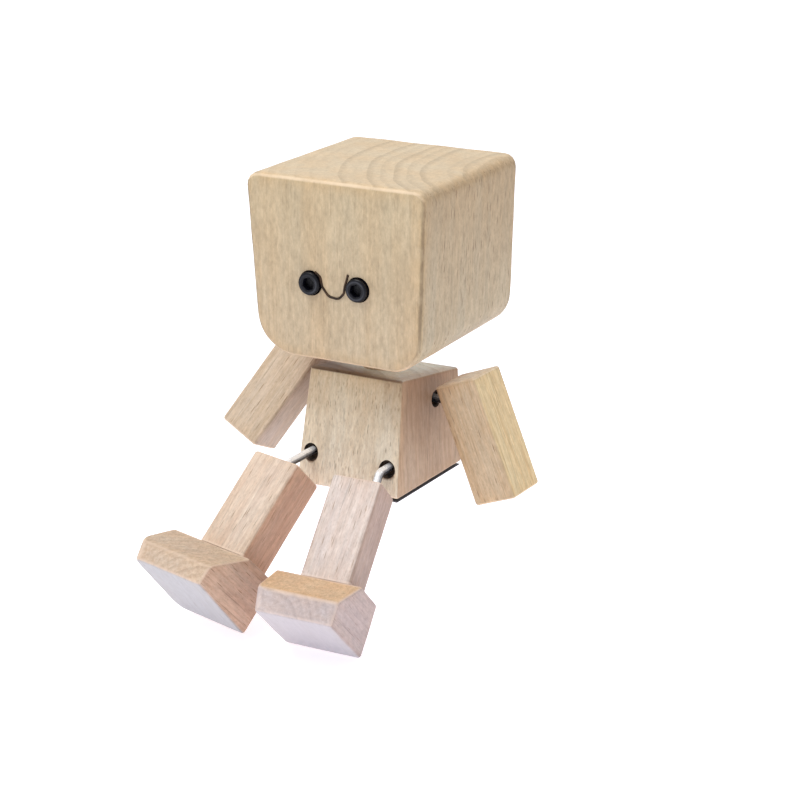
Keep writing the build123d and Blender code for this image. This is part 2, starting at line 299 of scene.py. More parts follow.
def outline_parts(block):
    """The rounded outline as four runs of (point, normal), opposite runs equally long."""
    count = len(block.sides)
    arcs = [block.arc(corner) for corner in range(count)]
    turns = [math.acos(np.clip(arc[2] @ arc[3], -1, 1)) for arc in arcs]
    plans = run_plans(block, turns)
    counts = [[cells_on(piece, arcs, turns) for piece in plan] for plan in plans]
    for one, other in ((0, 2), (1, 3)):
        gap = sum(counts[one]) - sum(counts[other])
        short = counts[other] if gap > 0 else counts[one]
        short[int(np.argmax(short))] += abs(gap)
    parts = []
    for plan, numbers in zip(plans, counts):
        samples = []
        for piece, number in zip(plan, numbers):
            arc = arcs[piece[1] % count]
            if piece[0] == "arc":
                samples += arc_samples(arc, piece[2], piece[3], number)
            else:
                samples += line_samples(arc, arcs[piece[2] % count], number)
        parts.append(samples)
    return parts


def coons(first, second, third, fourth):
    """A grid of points inside four edges that run round it, each without its last point."""
    bottom = np.array(first + second[:1])
    right = np.array(second + third[:1])
    top = np.array(third + fourth[:1])[::-1]
    left = np.array(fourth + first[:1])[::-1]
    u = np.linspace(0, 1, len(bottom))[:, None, None]
    v = np.linspace(0, 1, len(right))[None, :, None]
    ruled = (1 - v) * bottom[:, None] + v * top[:, None] + (1 - u) * left[None] + u * right[None]
    corners = (1 - u) * (1 - v) * bottom[0] + u * (1 - v) * bottom[-1]
    corners = corners + (1 - u) * v * top[0] + u * v * top[-1]
    return ruled - corners


def wander(point, length):
    """Smooth noise of about -1 to 1 with features of a given length."""
    return noise.noise(Vector(point) / length)


def end_rows(block, face, radius, points, normals, sign):
    """The rings of a rounded end, from its flat face out to the sides."""
    if radius == 0:
        return [(points, block.end_height(face, points))]
    vary = np.array([1 + ARRIS_VARIES * wander((*p, sign * MM), ARRIS_WAVE_LENGTH) for p in points])
    local = (radius * vary)[:, None]
    rows = []
    for step in range(ARC_CELLS + 1):
        angle = math.pi / 2 * step / ARC_CELLS
        ring = points - normals * local * (1 - math.sin(angle))
        lift = local[:, 0] * (1 - math.cos(angle))
        rows.append((ring, block.end_height(face, ring) - sign * lift))
    return rows


def block_rows(block, parts):
    """Every ring of the block from its low end to its high end, as (points, heights)."""
    points = np.array([sample[0] for part in parts for sample in part])
    normals = np.array([sample[1] for part in parts for sample in part])
    low = end_rows(block, block.low, block.end_rounds[0], points, normals, -1)
    high = end_rows(block, block.high, block.end_rounds[1], points, normals, 1)
    start, stop = low[-1][1], high[-1][1]
    middle = max(2, round(float(np.mean(stop - start)) / CELL))
    shares = [step / middle for step in range(1, middle)]
    return low + [(points, start * (1 - share) + stop * share) for share in shares] + high[::-1]


def end_cap(runs, offset, total):
    """The grid that closes an end: its inner points, and the vertex number of every point."""
    grid = coons(*runs)
    wide, tall = grid.shape[0] - 1, grid.shape[1] - 1
    index = np.full((wide + 1, tall + 1), -1)
    for k in range(wide):
        index[k, 0] = k
        index[wide - k, tall] = wide + tall + k
    for k in range(tall):
        index[wide, k] = wide + k
        index[0, tall - k] = 2 * wide + tall + k
    index[index >= 0] += offset
    inner = grid[1:-1, 1:-1].reshape(-1, 2)
    index[1:-1, 1:-1] = total + np.arange(len(inner)).reshape(wide - 1, tall - 1)
    return inner, index


def grid_faces(index, outward):
    """The quads between the numbered points of a grid."""
    corners = (index[:-1, :-1], index[1:, :-1], index[1:, 1:], index[:-1, 1:])
    quads = np.stack(corners if outward else corners[::-1], axis=-1).reshape(-1, 4)
    return [tuple(int(number) for number in quad) for quad in quads]


def tube_faces(rows, count):
    """The quads between rings of points."""
    faces = []
    for row in range(rows - 1):
        for k in range(count):
            a, b = row * count + k, row * count + (k + 1) % count
            faces.append((a, b, b + count, a + count))
    return faces


def block_arrays(block):
    """Vertices and faces of the whole block."""
    parts = outline_parts(block)
    rows = block_rows(block, parts)
    count = len(rows[0][0])
    vertices = [block.place(flat, height) for flat, height in rows]
    faces = tube_faces(len(rows), count)
    total = count * len(rows)
    starts = np.cumsum([0] + [len(part) for part in parts])
    ends = ((rows[0], 0, block.low, False), (rows[-1], total - count, block.high, True))
    for ring, offset, face, outward in ends:
        runs = [list(ring[0][starts[i]:starts[i + 1]]) for i in range(4)]
        inner, index = end_cap(runs, offset, total)
        vertices.append(block.place(inner, block.end_height(face, inner)))
        total += len(inner)
        faces += grid_faces(index, outward)
    return np.concatenate(vertices), faces


def link(thing):
    """Puts an object in the scene."""
    bpy.context.scene.collection.objects.link(thing)


def new_object(name, vertices, faces):
    """A mesh object in the scene."""
    mesh = bpy.data.meshes.new(name)
    mesh.from_pydata([tuple(vertex) for vertex in vertices], [], faces)
    mesh.validate()
    mesh.update()
    piece = bpy.data.objects.new(name, mesh)
    link(piece)
    return piece


def sand_unevenly(piece):
    """Leaves the faces a few hundredths of a millimetre out of flat."""
    mesh = piece.data
    normals = [vertex.normal.copy() for vertex in mesh.vertices]
    for vertex, normal in zip(mesh.vertices, normals):
        depth = FACE_WAVE * wander(vertex.co, FACE_WAVE_LENGTH) - FACE_WAVE
        vertex.co += normal * depth
    mesh.update()


def lathe(name, axis, origin, profile):
    """A closed turned solid from (distance along the axis, radius) pairs."""
    axis = unit(axis)
    right = unit(np.cross(axis, ASKEW))
    up = np.cross(axis, right)
    vertices = []
    for distance, radius in profile:
        for step in range(LATHE_STEPS):
            angle = math.tau * step / LATHE_STEPS
            spoke = right * math.cos(angle) + up * math.sin(angle)
            vertices.append(np.asarray(origin) + axis * distance + spoke * radius)
    faces = [face[:1] + face[:0:-1] for face in tube_faces(len(profile), LATHE_STEPS)]
    last = (len(profile) - 1) * LATHE_STEPS
    faces.append(tuple(range(LATHE_STEPS)))
    faces.append(tuple(range(last + LATHE_STEPS - 1, last - 1, -1)))
    return new_object(name, vertices, faces)


def hole_profile(bore, bore_depth, mouth=None, mouth_depth=0.0):
    """A drilled hole with a small chamfer and maybe a wider mouth, from outside to inside."""
    rim = mouth or bore
    wide = rim + 2 * HOLE_CHAMFER
    profile = [(CUTTER_STANDS_OUT, wide), (HOLE_CHAMFER, wide), (-HOLE_CHAMFER, rim)]
    if mouth:
        profile += [(-mouth_depth, mouth), (-mouth_depth, bore)]
    return profile + [(-bore_depth, bore)]


def drill(piece, cutters, material):
    """Cuts turned holes into a block; their walls take the cutter's own material."""
    for cutter in cutters:
        cutter.data.materials.append(material)
        cut = piece.modifiers.new("hole", "BOOLEAN")
        cut.operation = "DIFFERENCE"
        cut.solver = "EXACT"
        cut.material_mode = "TRANSFER"
        cut.object = cutter
    depsgraph = bpy.context.evaluated_depsgraph_get()
    mesh = bpy.data.meshes.new_from_object(piece.evaluated_get(depsgraph))
    piece.modifiers.clear()
    piece.data = mesh
    for cutter in cutters:
        bpy.data.objects.remove(cutter)


# ---- wood coordinates

def arris_distance(block, positions):
    """How far each point is from the nearest edge of its block, in millimetres."""
    flat = np.stack([positions @ block.right, positions @ block.up], axis=1)
    height = positions @ block.axis
    depths = np.stack([side[1] - flat @ np.array(side[0]) for side in block.sides], axis=1)
    ordered = np.sort(depths, axis=1)
    from_side = ordered[:, 0].copy()
    for corner in range(len(block.sides)):
        centre, radius, first, last = block.arc(corner)
        away = flat - centre
        turn = first @ last
        inside = (away @ (last - turn * first) > 0) & (away @ (first - turn * last) > 0)
        from_side[inside] = radius - np.linalg.norm(away[inside], axis=1)
    low = height - block.end_height(block.low, flat)
    high = block.end_height(block.high, flat) - height
    from_end = np.minimum(low, high)
    nearest = np.minimum(np.maximum(from_side, from_end), ordered[:, 1])
    return np.maximum(nearest, 0) / MM


def store(mesh, name, kind, values):
    """Writes one value per vertex into a named attribute."""
    attribute = mesh.attributes.new(name, kind, "POINT")
    field = "vector" if kind == "FLOAT_VECTOR" else "value"
    attribute.data.foreach_set(field, np.ascontiguousarray(values, dtype=np.float32).ravel())


def store_wood(piece, block, grain, pith):
    """Writes the wood's own coordinates: millimetres across from the pith, then along the grain."""
    mesh = piece.data
    positions = np.array([vertex.co[:] for vertex in mesh.vertices])
    normals = np.array([vertex.normal[:] for vertex in mesh.vertices])
    grain = unit(grain)
    across = unit(np.cross(grain, BACK if abs(grain[1]) < 0.9 else UP))
    axes = np.stack([across, np.cross(grain, across), grain], axis=1)
    centre = (positions.min(axis=0) + positions.max(axis=0)) / 2
    store(mesh, "wood", "FLOAT_VECTOR", (positions - centre) @ axes / MM - np.array(pith))
    store(mesh, "end_grain", "FLOAT", abs(normals @ grain))
    store(mesh, "flat_sawn", "FLOAT", abs(normals @ axes[:, :2] @ unit(pith[:2])))
    store(mesh, "arris", "FLOAT", arris_distance(block, positions))
    return normals


def store_gap(piece, neighbours):
    """Writes how far each point is from the nearest neighbouring block, in millimetres."""
    positions = np.array([vertex.co[:] for vertex in piece.data.vertices])
    nearest = np.full(len(positions), FAR_AWAY)
    for node in neighbours:
        beyond = [positions @ normal - distance for normal, distance in flat_faces(node)]
        nearest = np.minimum(nearest, np.max(beyond, axis=0) / MM)
    store(piece.data, "gap", "FLOAT", nearest)


def store_tint_and_shade(piece, normals, tints_and_shades):
    """Writes each face's own cast of colour together with its painted light and shade, blended over
    the edges.

    A tint is (direction, colour) or (direction, colour at the block's top, colour at its foot).
    """
    heights = np.array([vertex.co.z for vertex in piece.data.vertices])
    share = ((heights - heights.min()) / np.ptp(heights))[:, None]
    weights = np.full((len(normals), 1), 1e-6)
    total = weights * np.ones(3)
    for direction, *colours in tints_and_shades:
        upper, lower = np.array(colours[0]), np.array(colours[-1])
        weight = np.maximum(normals @ unit(direction), 0)[:, None] ** TINT_SHARPNESS
        total = total + weight * (share * upper + (1 - share) * lower)
        weights = weights + weight
    store(piece.data, "tint_and_shade", "FLOAT_VECTOR", total / weights)


def store_painted_sole_light(piece, normals, soled):
    """Writes how much each point belongs to a foot's sole, where the wood is painted paler and
    calmer as bounce light from below.
    """
    painted_light = np.maximum(normals @ unit(SOLEWARD), 0) ** TINT_SHARPNESS
    store(piece.data, "painted_light", "FLOAT", painted_light if soled else painted_light * 0)


# ---- materials

class Nodes:
    """A short way to write a material's node tree."""

    def __init__(self, name):
        self.material = bpy.data.materials.new(name)
        self.material.use_nodes = True
        self.tree = self.material.node_tree
        self.tree.nodes.clear()
        self.output = self.tree.nodes.new("ShaderNodeOutputMaterial")
        self.shader = self.tree.nodes.new("ShaderNodeBsdfPrincipled")
        self.tree.links.new(self.shader.outputs["BSDF"], self.output.inputs["Surface"])

    def shade(self, name, value):
        """Sets or links one input of the shader."""
        self.plug(self.shader.inputs[name], value)

    def plug(self, socket, value):
        if isinstance(value, bpy.types.NodeSocket):
            self.tree.links.new(value, socket)
        elif value is not None:
            socket.default_value = value

    def attribute(self, name, output="Fac"):
        node = self.tree.nodes.new("ShaderNodeAttribute")
        node.attribute_name = name
        return node.outputs[output]

    def scaled(self, vector, factors):
        return self.vector("MULTIPLY", vector, factors)

    def operate(self, kind, operation, values):
        node = self.tree.nodes.new(kind)
        node.operation = operation
        for socket, value in zip(node.inputs, values):
            self.plug(socket, value)
        return node.outputs

    def vector(self, operation, *values):
        outputs = self.operate("ShaderNodeVectorMath", operation, values)
        return outputs["Value" if operation == "LENGTH" else "Vector"]

    def math(self, operation, *values):
        return self.operate("ShaderNodeMath", operation, values)[0]

    def noise(self, vector, detail=3.0, roughness=0.55, scale=1.0):
        node = self.tree.nodes.new("ShaderNodeTexNoise")
        self.plug(node.inputs["Vector"], vector)
        node.inputs["Scale"].default_value = scale
        node.inputs["Detail"].default_value = detail
        node.inputs["Roughness"].default_value = roughness
        return node

    def grain(self, vector, stretch, detail=3.0, roughness=0.55):
        """Noise stretched along the axes of a vector, as a number from 0 to 1."""
        return self.noise(self.scaled(vector, stretch), detail, roughness).outputs["Fac"]

    def place(self):
        """The object's own coordinates, in metres."""
        return self.tree.nodes.new("ShaderNodeTexCoord").outputs["Object"]

    def speckle(self, scale, detail=3.0, roughness=0.6):
        """Noise in the object's own coordinates."""
        return self.noise(self.place(), detail, roughness, scale).outputs["Fac"]

    def part(self, vector, axis):
        """One component of a vector."""
        node = self.tree.nodes.new("ShaderNodeSeparateXYZ")
        self.plug(node.inputs[0], vector)
        return node.outputs[axis]

    def times(self, first, second):
        return self.math("MULTIPLY", first, second)

    def cast(self, colour, factor):
        """A colour multiplied by another."""
        return self.mix(1.0, colour, factor, "MULTIPLY")

    def cells(self, vector):
        node = self.tree.nodes.new("ShaderNodeTexVoronoi")
        self.plug(node.inputs["Vector"], vector)
        node.inputs["Scale"].default_value = 1.0
        return node

    def span(self, value, low, high, start=0.0, stop=1.0):
        node = self.tree.nodes.new("ShaderNodeMapRange")
        node.interpolation_type = "SMOOTHSTEP"
        self.plug(node.inputs["Value"], value)
        node.inputs["From Min"].default_value = low
        node.inputs["From Max"].default_value = high
        node.inputs["To Min"].default_value = start
        node.inputs["To Max"].default_value = stop
        return node.outputs[0]

    def mix(self, factor, first, second, blend="MIX"):
        node = self.tree.nodes.new("ShaderNodeMix")
        node.data_type = "RGBA"
        node.blend_type = blend
        self.plug(node.inputs["Factor"], factor)
        for socket, value in ((node.inputs[6], first), (node.inputs[7], second)):
            if isinstance(value, tuple):
                value = (*value, 1.0)
            self.plug(socket, value)
        return node.outputs[2]

    def bump(self, height, strength, distance):
        node = self.tree.nodes.new("ShaderNodeBump")
        node.inputs["Strength"].default_value = strength
        node.inputs["Distance"].default_value = distance
        self.plug(node.inputs["Height"], height)
        self.plug(self.shader.inputs["Normal"], node.outputs[0])


def darker(colour, share):
    """A colour times a share."""
    return tuple(channel * share for channel in colour)


# Beech: the shares of clouds and mottles in its tone, and the colours of its layers
CLOUDS = 0.5
MOTTLES = 0.35
TONE_SPREAD = 0.24
WARM_BAND = (1.02, 0.995, 0.965)
COOL_BAND = (0.985, 1.0, 1.015)
WARM_EDGE = (1.03, 0.93, 0.80)
# Painted shadow where a neighbouring block comes close
NEIGHBOUR_SHADE = (0.55, 0.44, 0.40)
FLECK = (0.27, 0.165, 0.095)

# How a block's edges are worn and shaded: where they begin and end in millimetres from the arris,
# and how strong the brown line (part sanding mark, part painted shade), the warmth and the painted
# highlight on the crown at the block's top and foot are
PLAIN_EDGE = {
    "from": 0.25, "to": 0.8, "line": 0.25, "warmth": 0.35, "crown_highlight": 0.45, "low_crown_highlight": 0.45,
}
TORSO_EDGE = PLAIN_EDGE | {"crown_highlight": 0.1, "low_crown_highlight": 0.3}
HEAD_EDGE = {
    "from": 0.5, "to": 1.0, "line": 0.75, "warmth": 0.6, "crown_highlight": 0.75, "low_crown_highlight": 0.2,
}
PLAIN_LOOK = {"fibres": 1.0, "pored": 1.0, "edge": PLAIN_EDGE}


def growth_rings(nodes, wood, gap):
    """Rings round the pith, bent a little along the grain: dark and sharp on one side."""
    drift = nodes.noise(nodes.scaled(wood, (0.045, 0.045, 0.02)), 2.0).outputs["Color"]
    across = nodes.scaled(wood, (1.0, 1.0, 0.0))
    bent = nodes.vector("MULTIPLY_ADD", drift, (4.0, 4.0, 0.0), across)
    years = nodes.math("DIVIDE", nodes.vector("LENGTH", bent), gap)
    phase = nodes.math("FRACT", years)
    ring = nodes.times(nodes.span(phase, 0.25, 0.90), nodes.span(phase, 0.92, 1.0, 1.0, 0.0))
    year = nodes.tree.nodes.new("ShaderNodeTexWhiteNoise")
    year.noise_dimensions = "1D"
    nodes.plug(year.inputs["W"], nodes.math("FLOOR", years))
    return nodes.times(ring, nodes.span(year.outputs["Value"], 0.1, 0.9, 0.15, 1.0))


def dashes(nodes, wood, stretch, thick, kept):
    """Short dark dashes along the grain, in a share of the cells."""
    cells = nodes.cells(nodes.scaled(wood, stretch))
    dash = nodes.span(cells.outputs["Distance"], thick * 0.4, thick, 1.0, 0.0)
    pick = nodes.noise(cells.outputs["Position"], 0.0, scale=3.1).outputs["Fac"]
    return nodes.times(dash, nodes.span(pick, kept, kept + 0.12))


def ground_colour(nodes, wood, mottle, look):
    """Cloudy patches, broad streaks, and slow bands of warmer and cooler wood."""
    streak = nodes.grain(wood, (1.3, 1.3, 0.045), 3.0, 0.6)
    cloud = nodes.grain(wood, (0.11, 0.11, 0.06), 2.0)
    tone = nodes.math("ADD", nodes.times(cloud, CLOUDS), nodes.times(streak, look["streaks"]))
    tone = nodes.math("ADD", tone, nodes.times(mottle, MOTTLES))
    middle = (CLOUDS + look["streaks"] + MOTTLES) / 2
    span = nodes.span(tone, middle - TONE_SPREAD, middle + TONE_SPREAD)
    band = nodes.grain(wood, (0.17, 0.17, 0.012), 2.0)
    return nodes.cast(
        nodes.mix(span, look["pale"], look["warm"]),
        nodes.mix(nodes.span(band, 0.36, 0.64), WARM_BAND, COOL_BAND),
    )


def add_rings_and_fibre(nodes, wood, colour, end_grain, mottle, fibre, look):
    """Rings, faint along the block and clear on its ends, and hair-fine fibre."""
    along, on_ends = look["rings"]
    share = nodes.math("MULTIPLY_ADD", end_grain, on_ends - along, along)
    share = nodes.times(share, nodes.span(mottle, 0.3, 0.6, 0.45, 1.0))
    ring = nodes.times(growth_rings(nodes, wood, look["gap"]), share)
    dark = nodes.span(fibre, 0.45, 0.72, 0.0, 0.30 * look["fibres"])
    light = nodes.span(fibre, 0.28, 0.48, 0.22 * look["fibres"], 0.0)
    colour = nodes.mix(ring, colour, darker(look["warm"], 0.62))
    colour = nodes.mix(dark, colour, darker(look["warm"], 0.74))
    return nodes.mix(light, colour, darker(look["pale"], 1.12))


def add_marks(nodes, wood, colour, end_grain, look):
    """Veins and dark dashes on the lengthwise faces, pores on the ends. Also their depths."""
    lengthwise = nodes.math("SUBTRACT", 1.0, end_grain)
    flat_sawn = nodes.span(nodes.attribute("flat_sawn"), 0.35, 0.8, 0.22, 1.0)
    sawn = nodes.times(lengthwise, flat_sawn)
    long_dash = nodes.times(dashes(nodes, wood, (2.0, 2.0, 0.19), 0.32, 0.485), sawn)
    short_dash = nodes.times(dashes(nodes, wood, (3.2, 3.2, 0.75), 0.34, 0.40), sawn)
    vein = nodes.grain(wood, (2.3, 2.3, 0.06), 1.0, 0.5)
    vein = nodes.times(nodes.span(vein, 0.60, 0.76), lengthwise)
    pore = nodes.grain(wood, (4.0, 4.0, 0.5), 2.0, 0.7)
    pore = nodes.times(nodes.times(nodes.span(pore, 0.50, 0.70), end_grain), look["pored"])
    warm, flecks = look["warm"], look["flecks"]
    colour = nodes.mix(nodes.times(vein, look["streaks"] * 0.55), colour, darker(warm, 0.55))
    colour = nodes.mix(nodes.times(short_dash, flecks * 0.45), colour, FLECK)
    colour = nodes.mix(nodes.times(long_dash, flecks), colour, FLECK)
    colour = nodes.mix(nodes.times(pore, 0.22), colour, darker(warm, 0.6))
    return colour, nodes.math("ADD", nodes.times(long_dash, 0.5), nodes.times(pore, 0.3))


def add_edge_lines(nodes, colour, arris, on_arris, end_edge, smudge, look):
    """A broken brown line along the long edges, part sanding mark and part painted shade where the
    rounding turns away, and warmer wood towards every edge.
    """
    edge = look["edge"]
    line = nodes.times(on_arris, nodes.math("SUBTRACT", 1.0, end_edge))
    line = nodes.times(line, nodes.span(smudge, 0.35, 0.6, 0.45, 1.0))
    colour = nodes.mix(nodes.times(line, edge["line"]), colour, darker(look["warm"], 0.42))
    near = nodes.span(arris, 0.4, 4.0, 1.0, 0.0)
    near = nodes.times(nodes.times(near, nodes.span(smudge, 0.3, 0.65, 0.3, 1.0)), edge["warmth"])
    return nodes.mix(near, colour, nodes.cast(colour, WARM_EDGE))


def add_casts_and_painted_light(nodes, wood, colour, end_grain, look):
    """Painted bounce light on the soles, an uneven grain, each face's cast with its painted light
    and shade, and painted shadow near a neighbouring block.
    """
    painted_light = nodes.attribute("painted_light")
    patchy = look["patchy"]
    # Soles painted paler and calmer, as bounce light from below
    colour = nodes.mix(nodes.times(painted_light, 0.85), colour, darker(look["pale"], 0.93))
    grain = nodes.grain(wood, (0.9, 0.9, 0.35), 5.0, 0.75)
    contrast = nodes.math("MULTIPLY_ADD", painted_light, -patchy * 1.9, patchy * 2.6)
    contrast = nodes.times(contrast, nodes.math("MULTIPLY_ADD", end_grain, -0.5, 1.0))
    grain = nodes.math("MULTIPLY_ADD", nodes.math("SUBTRACT", grain, 0.5), contrast, 1.0)
    # Each face's painted light and shade, with its own cast
    tint_and_shade = nodes.vector("MULTIPLY", grain, nodes.attribute("tint_and_shade", "Vector"))
    colour = nodes.cast(colour, tint_and_shade)
    # Painted shadow near a neighbouring block
    neighbour_shade = nodes.span(nodes.attribute("gap"), 1.0, 12.0, 0.90, 0.0)
    return nodes.mix(neighbour_shade, colour, nodes.cast(colour, NEIGHBOUR_SHADE))


def add_crown_highlight(nodes, wood, colour, on_arris, end_edge, smudge, look):
    """A painted highlight, partly burnished wood, on the crown of the end edges, and less of it at
    the block's foot.
    """
    edge = look["edge"]
    crown_highlight = nodes.times(nodes.times(on_arris, end_edge), nodes.span(smudge, 0.25, 0.5, 0.4, 1.0))
    share = nodes.span(nodes.part(wood, "Z"), -12.0, 8.0, edge["low_crown_highlight"], edge["crown_highlight"])
    return nodes.mix(nodes.times(crown_highlight, share), colour, darker(look["pale"], 1.2))


def beech(node, look):
    """Sanded beech, in layers from the ground colour to the worn edges."""
    nodes = Nodes("beech_" + node)
    look = PLAIN_LOOK | look
    wood = nodes.attribute("wood", "Vector")
    arris = nodes.attribute("arris")
    end_grain = nodes.span(nodes.attribute("end_grain"), 0.55, 0.85)
    end_edge = nodes.span(nodes.attribute("end_grain"), 0.18, 0.45)
    on_arris = nodes.span(arris, look["edge"]["from"], look["edge"]["to"], 1.0, 0.0)
    fibre = nodes.grain(wood, (4.0, 4.0, 0.13), 4.0, 0.62)
    mottle = nodes.grain(wood, (1.5, 1.5, 0.8), 4.0, 0.65)
    smudge = nodes.grain(wood, (0.35, 0.35, 0.25), 3.0)

    colour = ground_colour(nodes, wood, mottle, look)
    colour = add_rings_and_fibre(nodes, wood, colour, end_grain, mottle, fibre, look)
    colour, marks = add_marks(nodes, wood, colour, end_grain, look)
    colour = add_edge_lines(nodes, colour, arris, on_arris, end_edge, smudge, look)
    colour = add_casts_and_painted_light(nodes, wood, colour, end_grain, look)
    colour = add_crown_highlight(nodes, wood, colour, on_arris, end_edge, smudge, look)

    roughness = nodes.math("MULTIPLY_ADD", fibre, 0.22, 0.46)
    nodes.shade("Base Color", colour)
    nodes.shade("Roughness", roughness)
    nodes.shade("Specular IOR Level", 0.28)
    nodes.bump(nodes.math("SUBTRACT", nodes.times(fibre, 0.5), marks), 0.30, 0.06 * MM)
    return nodes.material


def shaded_bored_wood():
    """The walls of drilled holes: rougher, and painted dark as the shade inside the hole."""
    nodes = Nodes("shaded_bored_wood")
    hole_shade = nodes.speckle(900.0)
    colour = nodes.mix(nodes.span(hole_shade, 0.3, 0.7), (0.022, 0.015, 0.011), (0.075, 0.048, 0.032))
    nodes.shade("Base Color", colour)
    nodes.shade("Roughness", 0.85)
    nodes.bump(hole_shade, 0.4, 0.05 * MM)
    return nodes.material


# The steel's painted shade, mid tone and painted highlight
STEEL_SHADES = ((0.05, 0.052, 0.06), (0.34, 0.35, 0.38), (0.97, 0.98, 1.0))


def drawn_steel(name, brightness):
    """Drawn wire: a painted highlight on the upper flank and painted shade below, with fine
    scratches.
    """
    nodes = Nodes(name)
    facing = nodes.part(nodes.tree.nodes.new("ShaderNodeNewGeometry").outputs["Normal"], "Z")
    dull = nodes.speckle(420.0)
    scratch = nodes.grain(nodes.place(), (9000.0, 900.0, 900.0), 3.0, 0.6)
    flank = nodes.math("ADD", facing, nodes.math("MULTIPLY_ADD", dull, 0.3, -0.15))
    dark, grey, pale = (darker(colour, brightness) for colour in STEEL_SHADES)
    colour = nodes.mix(nodes.span(flank, -0.05, 0.30), dark, grey)
    colour = nodes.mix(nodes.span(flank, 0.38, 0.66), colour, pale)
    nodes.shade("Base Color", colour)
    nodes.shade("Metallic", 0.3)
    nodes.shade("Roughness", nodes.span(dull, 0.3, 0.75, 0.22, 0.38))
    nodes.bump(scratch, 0.25, 0.01 * MM)
    return nodes.material


def black_oxide():
    """Black oxide steel, with a painted highlight: greyer on the flat ring round the socket."""
    nodes = Nodes("black_oxide")
    zone = nodes.attribute("zone")
    wear = nodes.speckle(1600.0, 4.0, 0.7)
    patch = nodes.speckle(330.0, 1.0, 0.5)
    painted_light = nodes.times(nodes.span(zone, 1.8, 2.0), nodes.span(zone, 2.15, 2.4, 1.0, 0.0))
    painted_light = nodes.times(painted_light, nodes.span(patch, 0.42, 0.60, 0.25, 1.0))
    colour = nodes.mix(painted_light, (0.003, 0.003, 0.006), (0.035, 0.037, 0.046))
    nodes.shade("Base Color", colour)
    nodes.shade("Specular IOR Level", 0.22)
    nodes.shade("Roughness", nodes.span(wear, 0.3, 0.7, 0.24, 0.40))
    nodes.bump(wear, 0.2, 0.02 * MM)
    return nodes.material


def dowel_wood():
    """Plain beech dowel, which has no wood coordinates of its own."""
    nodes = Nodes("dowel_wood")
    fibre = nodes.grain(nodes.place(), (3000.0, 3000.0, 150.0), 4.0, 0.6)
    colour = nodes.mix(nodes.span(fibre, 0.3, 0.7), (0.60, 0.46, 0.32), (0.46, 0.33, 0.21))
    nodes.shade("Base Color", colour)
    nodes.shade("Roughness", 0.6)
    nodes.bump(fibre, 0.3, 0.05 * MM)
    return nodes.material


def annealed_wire():
    """Dark annealed wire with brown patches."""
    nodes = Nodes("annealed_wire")
    patch = nodes.speckle(500.0)
    colour = nodes.mix(nodes.span(patch, 0.35, 0.65), (0.026, 0.017, 0.012), (0.075, 0.042, 0.024))
    nodes.shade("Base Color", colour)
    nodes.shade("Specular IOR Level", 0.15)
    nodes.shade("Roughness", nodes.span(patch, 0.3, 0.7, 0.38, 0.55))
    nodes.bump(patch, 0.2, 0.02 * MM)
    return nodes.material


def pale_stage():
    """The plain pale floor and plinth sides, which glow with a little cool light, and the plinth's
    dark top, a painted contact shadow under the body.
    """
    nodes = Nodes("pale_stage")
    glow = nodes.attribute("glow")
    colour = nodes.mix(nodes.span(glow, 0.0, 0.5), (0.16, 0.17, 0.20), (0.93, 0.93, 0.94))
    nodes.shade("Base Color", colour)
    nodes.shade("Roughness", 0.9)
    nodes.shade("Specular IOR Level", 0.0)
    nodes.shade("Emission Color", (0.88, 0.87, 1.0, 1.0))
    nodes.shade("Emission Strength", glow)
    return nodes.material


# ---- the pieces

def finish_piece(piece, node, body):
    """Shades a piece, hides the CAD node that it stands in for, and hangs it on its body."""
    piece.data.shade_smooth()
    piece.data.set_sharp_from_angle(angle=SMOOTH_BELOW)
    weighted = piece.modifiers.new("even_shading", "WEIGHTED_NORMAL")
    weighted.keep_sharp = True
    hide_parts(node)
    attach(piece, body)


def wooden_piece(node, body, block, grain, holes=()):
    """One wooden block with its holes, wood coordinates and material."""
    piece = new_object(node + "_sanded", *block_arrays(block))
    sand_unevenly(piece)
    piece.data.materials.append(BEECH[node])
    if holes:
        drill(piece, [lathe(f"{node}_hole_{i}", *hole) for i, hole in enumerate(holes)], BORED_SHADED)
    normals = store_wood(piece, block, grain, PITHS[node])
    store_tint_and_shade(piece, normals, TINTS_AND_SHADES[node])
    store_painted_sole_light(piece, normals, node.endswith("_foot"))
    store_gap(piece, NEIGHBOURS.get(node, ()))
    finish_piece(piece, node, body)
    return piece


def joint_hole(joint, middle):
    """A wire's hole on a joint's axis, opening away from the middle of its block."""
    place = np.array(JOINTS[joint]["pos_m"])
    axis = unit(JOINTS[joint]["axis"])
    if axis @ (place - middle) < 0:
        axis = -axis
    return axis, place, hole_profile(BORE_RADIUS, BORE_DEPTH, HOLE_MOUTH_RADIUS, HOLE_MOUTH_DEPTH)


def centre_of(node):
    """The middle of a CAD node's box."""
    low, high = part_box(node)
    return (np.array(low) + np.array(high)) / 2


def paint_head_shadow(piece):
    """Darkens the front right of the body's top with a painted shadow of the head."""
    mesh = piece.data
    top = [vertex.co for vertex in mesh.vertices if vertex.normal.z > 0.9]
    corner = np.array([min(co.x for co in top), min(co.y for co in top)])
    for vertex, cast in zip(mesh.vertices, mesh.attributes["tint_and_shade"].data):
        if vertex.normal.z > 0.5:
            reach = (np.array(vertex.co[:2]) - corner) @ HEAD_SHADOW_ACROSS
            share = float(np.clip((reach - HEAD_SHADOW_REACH) / HEAD_SHADOW_FADE, 0, 1))
            shades = [dark + (1 - dark) * share for dark in HEAD_SHADOW_COLOUR]
            cast.vector = [channel * shade for channel, shade in zip(cast.vector, shades)]


